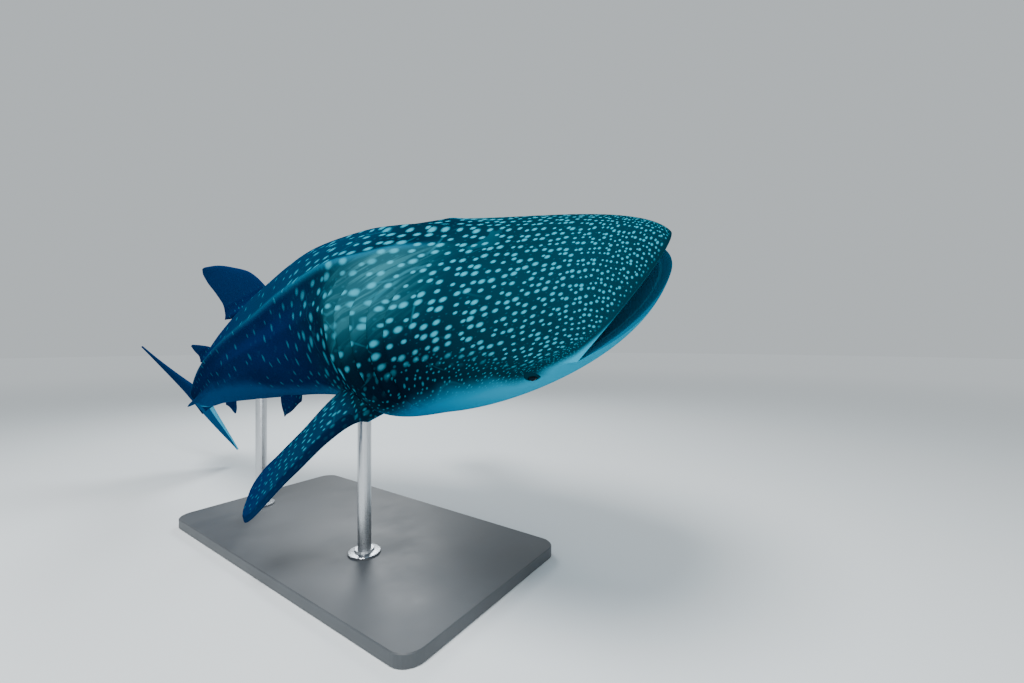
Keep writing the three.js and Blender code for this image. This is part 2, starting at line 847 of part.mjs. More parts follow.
function addMesh(name, solid, color, roughness, metalness) {
  const { vertProperties, triVerts } = solid.getMesh();
  const geometry = new THREE.BufferGeometry();
  geometry.setAttribute("position", new THREE.BufferAttribute(vertProperties, 3));
  geometry.setIndex(new THREE.BufferAttribute(triVerts, 1));
  geometry.computeVertexNormals();
  const mesh = new THREE.Mesh(geometry, new THREE.MeshStandardMaterial({ color, roughness, metalness }));
  mesh.name = name;
  model.add(mesh);
}

function addSkin(name, solid, color = SKIN.flank) {
  addMesh(name, solid, color, SKIN.roughness, 0);
}

const body = bodySolid(0);
const room = bodyRoom();
const lengths = partedBody(body);

addSkin("head", withFace(largest(lengths.head.subtract(jawSpace(GAP)))), SKIN.dark);
addSkin("lower_jaw", largest(lengths.head.intersect(jawSpace(0))), SKIN.pale);
for (const name of ["gill_region", "trunk_front", "trunk_middle", "trunk_rear", "tail_stalk"]) {
  addSkin(name, lengths[name]);
}

addSkin("first_dorsal_fin", largest(middleFin(FIRST_DORSAL, 1).subtract(room)), SKIN.dark);
addSkin("second_dorsal_fin", largest(middleFin(SECOND_DORSAL, 1).subtract(room)), SKIN.dark);
addSkin("anal_fin", largest(middleFin(ANAL, -1).subtract(room)));

const thinGap = GAP / TOTAL_LENGTH / 2;
const belowTail = (height) => {
  const frame = frameAt(0.88);
  const size = 0.5 * TOTAL_LENGTH;
  const block = new THREE.BoxGeometry(size, size, size).translate(0, 0, -size / 2 + height * TOTAL_LENGTH);
  const basis = new THREE.Matrix4().makeBasis(frame.forward, frame.left, frame.over);
  return fromGeometry(block.applyMatrix4(basis.setPosition(frame.point)));
};
const upperLobe = middleFin(TAIL_UPPER, 1).subtract(room).subtract(belowTail(thinGap));
const lowerLobe = middleFin(TAIL_LOWER, -1).subtract(room).intersect(belowTail(-thinGap));
addSkin("caudal_fin_upper_lobe", largest(upperLobe), SKIN.dark);
addSkin("caudal_fin_lower_lobe", largest(lowerLobe), SKIN.pale);

for (const [side, mirror] of [["right", 1], ["left", -1]]) {
  addSkin(`pectoral_fin_${side}`, largest(pairedFin(PECTORAL, mirror).subtract(room)), SKIN.dark);
  addSkin(`pelvic_fin_${side}`, largest(pairedFin(PELVIC, mirror).subtract(room)));
  addMesh(`eye_${side}`, eyeBall(mirror), 0x0c0d0f, 0.12, 0);
}

addMesh("stand_base", standBase(), 0x3a3c3f, 0.5, 0.1);
ROD.stations.forEach((station, i) => {
  const where = ["front", "rear"][i];
  addMesh(`stand_rod_${where}`, standRod(station, room), 0xb4b7ba, 0.3, 0.9);
  addMesh(`stand_collar_${where}`, standCollar(station), 0x8d9195, 0.35, 0.9);
});

export default model;
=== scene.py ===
import math

import bmesh
import bpy
from mathutils import Matrix, Vector


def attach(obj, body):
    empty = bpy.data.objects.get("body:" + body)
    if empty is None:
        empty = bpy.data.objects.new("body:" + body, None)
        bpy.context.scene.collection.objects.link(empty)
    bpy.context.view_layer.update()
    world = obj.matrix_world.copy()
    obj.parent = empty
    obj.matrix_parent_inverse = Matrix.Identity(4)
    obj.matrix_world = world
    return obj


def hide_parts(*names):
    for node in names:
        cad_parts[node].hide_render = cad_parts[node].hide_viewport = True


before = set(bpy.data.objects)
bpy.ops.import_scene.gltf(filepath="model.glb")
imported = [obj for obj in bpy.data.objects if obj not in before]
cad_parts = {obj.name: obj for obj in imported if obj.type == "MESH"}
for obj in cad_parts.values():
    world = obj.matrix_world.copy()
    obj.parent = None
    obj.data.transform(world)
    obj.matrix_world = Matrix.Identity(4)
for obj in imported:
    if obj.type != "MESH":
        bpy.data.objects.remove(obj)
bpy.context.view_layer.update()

# The shark's measures, as shares of its length. A place on it is a station, counted from the snout,
# then a side, left being positive, and a height over the spine. Angles are in degrees.
LENGTH = 7.0
PIVOT = Vector((0.45, 0.0, 1.76))
PIVOT_STATION = 0.3
PITCH_UP = 7.9
BANK = 22.8
UP = Vector((0, 0, 1))

# The spine's bend: station, turn to the left, nose up, roll
SPINE_STEP = 0.005
SPINE_END = 1.05
SPINE_BEND = [
    (0, -2.5, -6, 11), (0.15, 0.5, -7, 9), (0.3, 0, 0, 0), (0.45, 9.4, 2.5, 1),
    (0.6, 0.6, 6, 3), (0.75, -4.5, 10, 5.4), (0.9, -9.4, 10, 5.4), (1.05, -9.4, 10, 5.4),
]

# The trunk's sections: station, height over the spine, depth below it, half width
TRUNK = [
    (0.16, 0.073, 0.063, 0.116), (0.22, 0.085, 0.07, 0.118), (0.28, 0.094, 0.068, 0.095),
    (0.36, 0.099, 0.066, 0.074), (0.45, 0.087, 0.057, 0.058), (0.55, 0.066, 0.0445, 0.048),
    (0.65, 0.0465, 0.034, 0.0355), (0.72, 0.0345, 0.0265, 0.0265), (0.78, 0.0265, 0.0217, 0.0197),
    (0.86, 0.012, 0.011, 0.006),
]
TRUNK_END = 0.86
BACK_FULLNESS = 2.2
BELLY_FULLNESS = [(0.16, 2.6), (0.22, 3.2), (0.28, 3.2), (0.36, 2.7), (0.45, 2.4), (0.6, 2.2), (0.86, 2)]

# The head and its mouth
HEAD_END = 0.16
HEAD_END_STEP = 0.004
MOUTH_HALF = 0.094
MOUTH_BACK = 0.0391
UPPER_LIP = 0.0334
LOWER_LIP = 0.0091
MOUTH_CORNER = 0.005
JAW_SET_BACK = 0.0036
GAPE_SQUARENESS = 2.4
LIP_BACK = {"upper": 0.225, "lower": 0.35}
LIP_RISE = {"upper": 0.08, "lower": 0.111}
LIP_SIDEWAYS = 0.22
CAVITY = 0.019
THROAT = (0.125, 0.002)

# The ridges along the flank, from the upper one down: station, angle from the back
RIDGE_PATHS = [
    [(0.16, 12), (0.2, 20), (0.23, 31), (0.26, 39), (0.3, 46), (0.37, 52), (0.45, 54), (0.86, 56)],
    [(0.16, 54), (0.25, 64), (0.37, 73), (0.6, 74), (0.86, 75)],
    [(0.16, 90), (0.3, 86), (0.6, 90), (0.86, 90)],
]
RIDGE_WIDTHS = (6.5, 4, 4)
RIDGE_HEIGHTS = (0.0076, 0.0022, 0.0014)
RIDGE_CREST = 0.8
KEEL_HEIGHT = 0.014
KEEL_WIDTH = 4
BACK_RIDGE = 0.003
BACK_RIDGE_WIDTH = 3.5

# The gills
GILL_FIRST = 0.176
GILL_PITCH = 0.0155
GILL_COUNT = 5
GILL_LIFT = 0.0026
GILL_LIFT_GROWTH = 0.0004
GILL_FLAP = 0.0013
GILL_DEPTH = 0.0036
GILL_RINGS = 5
GILL_END = 0.012

# Where the dark flank gives way to the pale underside: share of the head or station, angle from the back
HEAD_WATERLINE = [
    (0, 46), (0.02, 60), (0.05, 73), (0.1, 83), (0.18, 95),
    (0.26, 104), (0.36, 104), (0.5, 98), (0.75, 96), (1, 101),
]
WATERLINE = [
    (0.16, 101), (0.2, 112), (0.24, 122), (0.28, 118), (0.4, 119),
    (0.45, 116), (0.5, 102), (0.55, 92), (0.62, 88), (0.86, 88),
]

# The spots' spacing along the body, and their rows on one side, both by station
SPOT_SPACING = [
    (0, 0.0028), (0.03, 0.0034), (0.06, 0.0056), (0.12, 0.0086),
    (0.2, 0.0125), (0.32, 0.018), (0.45, 0.023), (0.86, 0.024),
]
SPOT_ROWS = [(0, 72), (0.03, 64), (0.08, 44), (0.14, 32), (0.2, 25), (0.32, 17), (0.45, 12), (0.86, 8)]


def curve_through(rows, column=1):
    """A smooth curve through one column of a table, with the table's own rises and falls."""
    x = [row[0] for row in rows]
    y = [row[column] for row in rows]
    last = len(x) - 1
    slopes = [(y[i + 1] - y[i]) / (x[i + 1] - x[i]) for i in range(last)]
    tangents = [slopes[0]]
    for i in range(1, last):
        a, b = slopes[i - 1], slopes[i]
        before, after = x[i] - x[i - 1], x[i + 1] - x[i]
        w1, w2 = 2 * after + before, after + 2 * before
        tangents.append((w1 + w2) / (w1 / a + w2 / b) if a * b > 0 else 0.0)
    tangents.append(slopes[-1])

    def value(at):
        at = min(max(at, x[0]), x[last])
        i = 0
        while i < last - 1 and at > x[i + 1]:
            i += 1
        width = x[i + 1] - x[i]
        t = (at - x[i]) / width
        return ((1 + 2 * t) * (1 - t) ** 2 * y[i] + t * (1 - t) ** 2 * width * tangents[i]
                + t * t * (3 - 2 * t) * y[i + 1] + t * t * (t - 1) * width * tangents[i + 1])

    return value


def smoothstep(low, high, value):
    t = min(max((value - low) / (high - low), 0.0), 1.0)
    return t * t * (3 - 2 * t)


def mix(a, b, t):
    return a + (b - a) * t


def signed_power(value, exponent):
    return math.copysign(abs(value) ** exponent, value)


back_height, belly_depth, half_width = (curve_through(TRUNK, k) for k in (1, 2, 3))
belly_fullness = curve_through(BELLY_FULLNESS)
ridge_angles = [curve_through(path) for path in RIDGE_PATHS]
waterline = curve_through(WATERLINE)
head_waterline = curve_through(HEAD_WATERLINE)
spot_spacing = curve_through(SPOT_SPACING)
spot_rows = curve_through(SPOT_ROWS)


def spine_frames():
    """At each step of the spine: forward, left, over, and its own place in metres."""
    yaw, pitch, roll = (curve_through(SPINE_BEND, k) for k in (1, 2, 3))
    attitude = Matrix.Rotation(-math.radians(PITCH_UP), 3, "Y")
    attitude = attitude @ Matrix.Rotation(math.radians(BANK), 3, "X")
    frames = []
    for i in range(round(SPINE_END / SPINE_STEP) + 1):
        station = i * SPINE_STEP
        y, p, r = (math.radians(curve(station)) for curve in (yaw, pitch, roll))
        forward = Vector((math.cos(p) * math.cos(y), math.cos(p) * math.sin(y), math.sin(p)))
        left = Matrix.Rotation(r, 3, forward) @ UP.cross(forward).normalized()
        over = forward.cross(left)
        frames.append([attitude @ forward, attitude @ left, attitude @ over, Vector()])
    for before, after in zip(frames, frames[1:]):
        after[3] = before[3] - (before[0] + after[0]) * 0.5 * SPINE_STEP * LENGTH
    shift = PIVOT - frames[round(PIVOT_STATION / SPINE_STEP)][3]
    for one in frames:
        one[3] = one[3] + shift
    return frames


SPINE = spine_frames()


def frame_at(station):
    steps = min(max(station / SPINE_STEP, -5), len(SPINE) - 1.001)
    i = max(0, math.floor(steps))
    t = steps - i
    return [a + (b - a) * t for a, b in zip(SPINE[i], SPINE[i + 1])]


def place(at):
    """A place on the shark, as station, side and height, set on the bent spine."""
    _, left, over, point = frame_at(at[0])
    return point + left * (at[1] * LENGTH) + over * (at[2] * LENGTH)


def from_back(angle):
    """The angle between a direction round the body and the middle of the back, in degrees."""
    return abs((math.degrees(angle) + 180) % 360 - 180)


def bump(distance, width):
    return math.exp(-((distance / width) ** 2))


def ridge_lift(station, degrees):
    upper, middle, lower = (
        height * math.exp(-math.hypot(degrees - angle(station), RIDGE_CREST) / width)
        for angle, height, width in zip(ridge_angles, RIDGE_HEIGHTS, RIDGE_WIDTHS))
    keel = bump(degrees - ridge_angles[2](station), KEEL_WIDTH)
    fade_in = smoothstep(0.17, 0.27, station)
    tail = smoothstep(0.62, 0.78, station) * (1 - smoothstep(0.81, 0.86, station))
    thin = 1 - 0.5 * smoothstep(0.5, 0.8, station)
    along_back = smoothstep(0.1, 0.2, station) * (1 - smoothstep(0.42, 0.46, station))
    return (fade_in * thin * (upper + middle * (1 - tail) + lower) + keel * tail * KEEL_HEIGHT
            + BACK_RIDGE * bump(degrees, BACK_RIDGE_WIDTH) * along_back)


def trunk_point(station, angle, lift=0.0):
    c, s = math.cos(angle), math.sin(angle)
    fullness = BACK_FULLNESS if c > 0 else belly_fullness(station)
    height = back_height(station) if c > 0 else belly_depth(station)
    width = half_width(station)
    side = -width * signed_power(s, 2 / fullness)
    up = height * signed_power(c, 2 / fullness)
    outward = Vector((side / width ** 2, up / height ** 2)).normalized()
    out = lift + ridge_lift(station, from_back(angle))
    return (station, side + outward.x * out, up + outward.y * out)


def lip_point(angle):
    """A place on the lips' edge."""
    c, s = math.cos(angle), math.sin(angle)
    across = abs(s) ** 0.75
    gape = 1 - across ** GAPE_SQUARENESS
    lip = UPPER_LIP if c > 0 else LOWER_LIP
    set_back = 0 if c > 0 else JAW_SET_BACK * gape
    return (MOUTH_BACK * across ** 2.2 + set_back,
            -MOUTH_HALF * math.copysign(across, s),
            MOUTH_CORNER * across ** 3 + lip * gape)


def gape_height(across):
    """The height of the gape's middle, by how far to the side."""
    share = min(1.0, abs(across))
    return MOUTH_CORNER * share ** 3 + (UPPER_LIP + LOWER_LIP) / 2 * (1 - share ** GAPE_SQUARENESS)


def head_point(along, angle):
    """A place on the head, from the lips at 0 to the trunk's first section at 1."""
    start = lip_point(angle)
    end = trunk_point(HEAD_END, angle)
    beyond = trunk_point(HEAD_END + HEAD_END_STEP, angle)
    c, s = math.cos(angle), math.sin(angle)
    length = HEAD_END - start[0]
    lip = "upper" if c > 0 else "lower"
    leave = (length * (LIP_BACK[lip] + (1 - LIP_BACK[lip]) * s * s),
             -math.copysign(length * LIP_SIDEWAYS * s * s, s),
             c * LIP_RISE[lip])
    arrive = (length * 1.1,
              (beyond[1] - end[1]) / HEAD_END_STEP * length,
              (beyond[2] - end[2]) / HEAD_END_STEP * length)
    t = along
    w = ((1 + 2 * t) * (1 - t) ** 2, t * (1 - t) ** 2, t * t * (3 - 2 * t), t * t * (t - 1))
    return tuple(w[0] * start[k] + w[1] * leave[k] + w[2] * end[k] + w[3] * arrive[k] for k in range(3))


def mouth_point(inward, angle):
    """A place on the mouth's lining, from the lips at 0 to the throat at 1."""
    station, side, height = lip_point(angle)
    c = math.cos(angle)
    middle = gape_height(side / MOUTH_HALF)
    roof = CAVITY * signed_power(c, 0.8) * (1 - 0.45 * inward)
    rise = smoothstep(0, 0.3, inward)
    half = (height - middle) * (1 - rise) + roof * rise
    return (mix(station, THROAT[0], inward),
            side * (1 - 0.05 * smoothstep(0, 0.08, inward) - 0.34 * inward),
            middle * (1 - inward) + THROAT[1] * inward + half)


def gill_knots():
    """Rings over the gill flaps: a count, the place on plain skin, the place on the flap, and its lift."""
    knots = []
    for index in range(GILL_COUNT):
        at = GILL_FIRST + index * GILL_PITCH
        lift = GILL_LIFT + index * GILL_LIFT_GROWTH
        rings = [(-0.007, -0.0055, lift * 0.6), (-0.002, 0.0015, lift), (-0.0008, 0.0013, lift - GILL_FLAP),
                 (0.0006, -0.003, -GILL_DEPTH), (0.003, 0.002, -0.003)]
        for plain, moved, out in rings:
            knots.append((len(knots), at + plain, at + moved, out))
    knots.append((len(knots), at + GILL_END, at + GILL_END, 0.0))
    return knots


def gill_window(index, degrees):
    """How far a gill slit is open at an angle from the back."""
    bottom = 104 - 3 * index
    return smoothstep(42, 60, degrees) * (1 - smoothstep(bottom - 9, bottom + 9, degrees))


# The skin: one mesh of the body with its mouth and gills, and the fins grown out of it.
# Each vertex carries what the skin's colour goes by: its station, how far below the edge of the pale
# underside it lies, how far into the mouth, how far from the lips, how near the top of the upper ridge
# (for a painted highlight), whether it lies above that ridge (dipping below zero just under it, for a
# painted shadow), how deep in a gill slit or inside an eyelid (for painted shade), and how plain a fin's
# skin is there.
MEASURES = ("station", "pale", "inward", "lip", "crest", "back", "slit", "fin")
AROUND = 220
MOUTH_ROWS = [1 - (i / 30) ** 0.8 for i in range(30)] + [0.02, 0.008]
HEAD_ROWS = [0.0, 0.004, 0.01, 0.018] + [0.03 + 0.97 * (i / 66) ** 1.15 for i in range(67)]
GILL_ROWS = 11
TRUNK_ROWS = 118
LIP_ROWS = 0.022


def body_rows():
    """Every ring of the body from the throat out over the lips and back to the tail."""
    rows = [("mouth", inward) for inward in MOUTH_ROWS] + [("head", along) for along in HEAD_ROWS]
    knots = gill_knots()
    steps = GILL_ROWS * GILL_COUNT
    rows += [("gill", (len(knots) - 1) * i / steps) for i in range(steps + 1)]
    start = knots[-1][1] + 0.004
    rows += [("trunk", mix(start, TRUNK_END, i / TRUNK_ROWS)) for i in range(TRUNK_ROWS + 1)]
    return rows


def add_grid(bm, across, along):
    """A flat grid of faces; each new vertex comes with its column and row."""
    made = bmesh.ops.create_grid(bm, x_segments=across, y_segments=along, size=0.5)["verts"]
    return {v: (round((v.co.x + 0.5) * across), round((v.co.y + 0.5) * along)) for v in made}


def set_maps(bm, cells, spots, values):
    """Writes the spots' own map on the corners and each named value on the vertices."""
    uv = bm.loops.layers.uv["spots"]
    for name, value in values.items():
        layer = bm.verts.layers.float[name]
        for v, cell in cells.items():
            v[layer] = value[cell]
    for face in {f for v in cells for f in v.link_faces}:
        for loop in face.loops:
            loop[uv].uv = spots[cells[loop.vert]]


def close_ring(bm, verts):
    """Fills the open end that these vertices go round."""
    edges = [e for e in {e for v in verts if v.is_valid for e in v.link_edges} if e.is_boundary]
    bmesh.ops.contextual_create(bm, geom=edges)


def add_body(bm):
    rows = body_rows()
    cells = add_grid(bm, AROUND, len(rows) - 1)
    knots = gill_knots()
    plain_at, moved_at, lift_at = (curve_through(knots, k) for k in (1, 2, 3))
    spots, places = {}, {}
    values = {name: {} for name in MEASURES}
    for column in range(AROUND + 1):
        angle = 2 * math.pi * (column % AROUND) / AROUND
        degrees = from_back(angle)
        turn = degrees if column <= AROUND / 2 else -degrees
        for row, (kind, value) in enumerate(rows):
            slit = 0.0
            at_lip = {"mouth": 0.0, "head": value}.get(kind, 1.0)
            if kind == "mouth":
                at = mouth_point(value, angle)
            elif kind == "head":
                at = head_point(value, angle)
            elif kind == "gill":
                plain = plain_at(value)
                index = min(GILL_COUNT - 1, int(value / GILL_RINGS))
                share = gill_window(index, degrees)
                at = trunk_point(mix(plain, moved_at(value), share), angle, lift_at(value) * share)
                # How deep in the slit, where painted shade goes.
                slit = max(0.0, -lift_at(value) / GILL_DEPTH) * share
            else:
                at = trunk_point(value, angle)
            cell = (column, row)
            places[cell] = at
            values["station"][cell] = at[0]
            values["slit"][cell] = slit
            values["fin"][cell] = 0.0
            outside = mix(0.02, 0.085, smoothstep(100, 150, degrees))
            lining = 0.03 * smoothstep(98, 112, degrees) * (1 - smoothstep(0.6 * outside, outside, at_lip))
            values["inward"][cell] = max(lining, value if kind == "mouth" else 0.0)
            line = head_waterline(value) if kind == "head" else waterline(at[0])
            values["pale"][cell] = min(8.0, max(-8.0, (degrees - line) / 8))
            values["lip"][cell] = value if kind == "head" else float(kind != "mouth")
            below = degrees - ridge_angles[0](at[0])
            # A narrow band along the top of the upper ridge, where a painted highlight runs.
            values["crest"][cell] = bump(below, 2.0) * smoothstep(0.16, 0.2, at[0])
            # 1 above the upper ridge and 0 below it, dipping below zero just under it, where a painted
            # shadow goes.
            values["back"][cell] = 1 - smoothstep(-2, 3, below) - 0.8 * bump(below - 7, 4.5)
        anchor = next(i for i, (kind, _) in enumerate(rows) if kind == "gill")
        run = {anchor: 0.0}
        for row in range(anchor - 1, -1, -1):
            a, b = places[column, row], places[column, row + 1]
            run[row] = run[row + 1] - math.dist(a, b) / spot_spacing(a[0])
        for row in range(anchor + 1, len(rows)):
            a, b = places[column, row - 1], places[column, row]
            run[row] = run[row - 1] + (b[0] - a[0]) / spot_spacing(b[0])
        for row in range(len(rows)):
            station = places[column, row][0]
            spots[column, row] = (run[row], turn / 180 * spot_rows(station))
    set_maps(bm, cells, spots, values)
    lips = [v for v, (_, row) in cells.items()
            if rows[row][0] in ("mouth", "head") and rows[row][1] < LIP_ROWS]
    ends = {0: [], len(rows) - 1: []}
    for v, (column, row) in cells.items():
        v.co = place(places[column, row])
        if row in ends:
            ends[row].append(v)
    bmesh.ops.remove_doubles(bm, verts=list(cells), dist=1e-5)
    lips = [v for v in lips if v.is_valid]
    for _ in range(3):
        bmesh.ops.smooth_vert(bm, verts=lips, factor=0.5, use_axis_x=True, use_axis_y=True, use_axis_z=True)
    for verts in ends.values():
        close_ring(bm, verts)


def plain_fin(out, u, face):
    return -8.0


def lower_lobe(out, u, face):
    """Pale like the underside, and palest along the leading edge, where the paleness is a painted
    highlight.
    """
    return mix(7.0, 1.6, smoothstep(0.02, 0.14, u))


# Fins: rows of span, leading edge, trailing edge, with the root's place and the way the fin points
FINS = {
    "first_dorsal_fin": dict(
        rows=[(0.05, 0.458, 0.532), (0.07, 0.458, 0.534), (0.0735, 0.458, 0.562), (0.08, 0.459, 0.5575),
              (0.095, 0.463, 0.55), (0.11, 0.472, 0.551), (0.125, 0.495, 0.5535), (0.136, 0.518, 0.5525),
              (0.142, 0.54, 0.548)],
        thickness=0.0085, up=1, surface=0.074),
    "second_dorsal_fin": dict(
        rows=[(0.03, 0.638, 0.686), (0.043, 0.638, 0.688), (0.046, 0.639, 0.706), (0.055, 0.648, 0.7),
              (0.065, 0.67, 0.703), (0.0735, 0.693, 0.702)],
        thickness=0.0055, up=1, surface=0.045),
    "anal_fin": dict(
        rows=[(0.014, 0.688, 0.722), (0.027, 0.688, 0.724), (0.03, 0.689, 0.736), (0.038, 0.699, 0.733),
              (0.045, 0.712, 0.734), (0.05, 0.727, 0.733)],
        thickness=0.0045, up=-1, surface=0.028),
    "caudal_fin_upper_lobe": dict(
        rows=[(-0.02, 0.775, 0.93), (0, 0.79, 0.927), (0.03, 0.83, 0.932), (0.06, 0.874, 0.946),
              (0.09, 0.915, 0.964), (0.12, 0.953, 0.982), (0.145, 0.982, 0.996), (0.155, 0.994, 1.0)],
        thickness=0.0105, up=1, surface=-0.02),
    "caudal_fin_lower_lobe": dict(
        rows=[(-0.02, 0.775, 0.93), (0, 0.795, 0.926), (0.03, 0.818, 0.915), (0.06, 0.832, 0.9),
              (0.085, 0.844, 0.885), (0.104, 0.856, 0.873), (0.111, 0.862, 0.868)],
        thickness=0.0105, up=-1, surface=-0.02, pale=lower_lobe),
}
PAIRED = {
    "pectoral_fin": dict(
        root=(0.262, -0.097, -0.045), tip=(0.4, -0.179, -0.102),
        rows=[(-0.06, -0.022, 0.03), (-0.03, -0.02, 0.033), (0, -0.018, 0.034), (0.02, -0.0165, 0.033),
              (0.04, -0.018, 0.0315), (0.08, -0.0235, 0.026), (0.12, -0.024, 0.0285),
              (0.145, -0.022, 0.0325), (0.16, -0.0175, 0.0315), (0.17, -0.011, 0.0265),
              (0.176, -0.001, 0.0165)],
        thickness=0.0085, droop=0.006, surface=-0.004),
    "pelvic_fin": dict(
        root=(0.479, -0.033, -0.046), tip=(0.499, -0.038, -0.0705),
        rows=[(-0.02, -0.012, 0.012), (0, -0.0155, 0.0145), (0.012, -0.0115, 0.0135), (0.022, -0.005, 0.01),
              (0.029, 0.001, 0.0055), (0.032, 0.0025, 0.004)],
        thickness=0.005, droop=0.0, surface=-0.002),
}
FIN_TIP = 0.3
FIN_AROUND = 22
FIN_ALONG = 44
FIN_TIP_CROWDING = 1.35
SKIRT_WIDTH = 0.005
SKIRT_FADE = 0.0045
PAIRED_SPOTS = (0.0056, 0.013)
PLAIN_SPOTS = (0.012, 0.012)
SPOT_SHIFT = 60


def blade(u):
    """Half the thickness of a fin's section, from its round leading edge at 0 to its trailing edge at 1."""
    return min(1.0, 2.6 * math.sqrt(u) * (1 - u) ** 0.9 * (1 - 0.25 * u) + 0.09 * math.sin(math.pi * u))


def add_fin(bm, rows, origin, chord, span, normal, thickness, surface, pale, plain, spacing, droop=0.0):
    """A fin grown along its span from inside the body, with a skirt that eases it out of the skin."""
    around, along = FIN_AROUND, FIN_ALONG
    lead, trail = curve_through(rows, 1), curve_through(rows, 2)
    first, last = rows[0][0], rows[-1][0]
    cells = add_grid(bm, 2 * around, along)
    spots, places = {}, {}
    values = {name: {} for name in MEASURES}
    for row in range(along + 1):
        t = 1 - (1 - row / along) ** FIN_TIP_CROWDING
        out = mix(first, last, t)
        half = mix(thickness, thickness * FIN_TIP, smoothstep(0, last, out)) / 2
        skirt = 0.0
        if surface > first + 0.004:
            skirt = SKIRT_WIDTH * math.exp(-max(0.0, out - surface) / SKIRT_FADE)
        bend = -droop * max(0.0, out / last) ** 2
        for column in range(2 * around + 1):
            k = column % (2 * around)
            face = 1 if k < around else -1
            k = k if k <= around else 2 * around - k
            u = 0.5 - 0.5 * math.cos(math.pi * k / around)
            back = mix(lead(out) - skirt, trail(out) + skirt, u)
            off = bend + face * (half * blade(u) + skirt * math.sin(math.pi * u) ** 0.5)
            at = tuple(origin[i] + chord[i] * back + span[i] * out + normal[i] * off for i in range(3))
            cell = (column, row)
            places[cell] = at
            spots[cell] = (back / spacing[0], out / spacing[1] + SPOT_SHIFT * face)
            for name in ("inward", "slit", "crest", "back"):
                values[name][cell] = 0.0
            values["station"][cell] = at[0]
            values["lip"][cell] = 1.0
            values["fin"][cell] = plain(u) * smoothstep(surface, surface + 0.02, out)
            values["pale"][cell] = pale(out / last, u, face)
    set_maps(bm, cells, spots, values)
    for v, cell in cells.items():
        v.co = place(places[cell])
    ends = [[v for v, (_, row) in cells.items() if row == end] for end in (0, along)]
    bmesh.ops.remove_doubles(bm, verts=list(cells), dist=1e-5)
    for verts in ends:
        close_ring(bm, verts)


def add_paired_fin(bm, spec, mirror):
    """A pectoral or pelvic fin, on the right where mirror is 1 and on the left where it is -1."""
    def flip(v):
        return (v[0], v[1] * mirror, v[2])

    root, tip = Vector(spec["root"]), Vector(spec["tip"])
    span = (tip - root).normalized()
    back = Vector((1, 0, 0))
    chord = (back - span * back.dot(span)).normalized()
    normal = chord.cross(span).normalized()
    if normal.z < 0:
        normal.negate()

    def pale(out, u, face):
        return 3.0 if face < 0 else mix(-2.0, -6.0, smoothstep(0.03, 0.3, u))

    def plain(u):
        return mix(0.9, 0.12, smoothstep(0.1, 0.28, u))

    add_fin(bm, spec["rows"], flip(root), flip(chord), flip(span), flip(normal), spec["thickness"],
            spec["surface"], pale, plain, PAIRED_SPOTS, spec["droop"])


def head_spot(along, degrees):
    """A frame on the head's skin: ahead, round it, and straight out."""
    angle = math.radians(degrees)
    at = place(head_point(along, angle))
    ahead = (place(head_point(along + 0.02, angle)) - at).normalized()
    round_it = place(head_point(along, angle + 0.03)) - at
    normal = ahead.cross(round_it).normalized()
    if normal.dot(at - frame_at(head_point(along, angle)[0])[3]) < 0:
        normal.negate()
    other = normal.cross(ahead).normalized()
    turn = Matrix((ahead, other, normal)).transposed().to_4x4()
    return Matrix.Translation(at) @ turn


# The eyes, in metres: the eyelid's section gives the distance from the eye's middle, and the height
EYE_ALONG = 0.3
EYE_ANGLE = 105
EYE_RADIUS = 0.022
EYE_SINK = 0.007
EYE_SWELL = 0.002
EYELID = [(0.0155, -0.01), (0.0172, 0.001), (0.0186, 0.0048), (0.0215, 0.0058), (0.0255, 0.0044),
          (0.032, 0.0012), (0.039, -0.0022), (0.043, -0.007)]


def eye_spot(mirror):
    return head_spot(EYE_ALONG, EYE_ANGLE if mirror > 0 else 360 - EYE_ANGLE)


def add_eyelid(bm, mirror):
    """A raised ring of skin round the eye, spun from its section."""
    spot = eye_spot(mirror)
    verts = [bm.verts.new(Vector((x, 0, z))) for x, z in EYELID]
    edges = [bm.edges.new(pair) for pair in zip(verts, verts[1:])]
    bmesh.ops.spin(bm, geom=verts + edges, cent=(0, 0, 0), axis=(0, 0, 1), angle=2 * math.pi,
                   steps=48, use_merge=True)
    ring = set(verts)
    grow = list(verts)
    while grow:
        v = grow.pop()
        for e in v.link_edges:
            w = e.other_vert(v)
            if w not in ring:
                ring.add(w)
                grow.append(w)
    layers = bm.verts.layers.float
    for v in ring:
        reach = math.hypot(v.co.x, v.co.y)
        v[layers["station"]] = 0.08
        v[layers["pale"]] = mix(-2.2, 0.6, smoothstep(0.0, 0.035, v.co.y * mirror))
        # The eyelid's inner side takes the painted shade of the gill slits.
        v[layers["slit"]] = 1 - smoothstep(0.017, 0.03, reach)
        v[layers["fin"]] = 0.5
        v[layers["lip"]] = 1.0
        v.co = spot @ v.co


def make_skin():
    bm = bmesh.new()
    bm.loops.layers.uv.new("spots")
    for name in MEASURES:
        bm.verts.layers.float.new(name)
    add_body(bm)
    for spec in FINS.values():
        add_fin(bm, spec["rows"], (0, 0, 0), (1, 0, 0), (0, 0, spec["up"]), (0, 1, 0), spec["thickness"],
                spec["surface"], spec.get("pale", plain_fin), lambda u: 0.9, PLAIN_SPOTS)
    for spec in PAIRED.values():
        for mirror in (1, -1):
            add_paired_fin(bm, spec, mirror)
    for mirror in (1, -1):
        add_eyelid(bm, mirror)
    bmesh.ops.recalc_face_normals(bm, faces=bm.faces)
    return finish_mesh(bm, "skin")


def finish_mesh(bm, name):
    for face in bm.faces:
        face.smooth = True
    mesh = bpy.data.meshes.new(name)
    bm.to_mesh(mesh)
    bm.free()
    made = bpy.data.objects.new(name, mesh)
    bpy.context.scene.collection.objects.link(made)
    return made


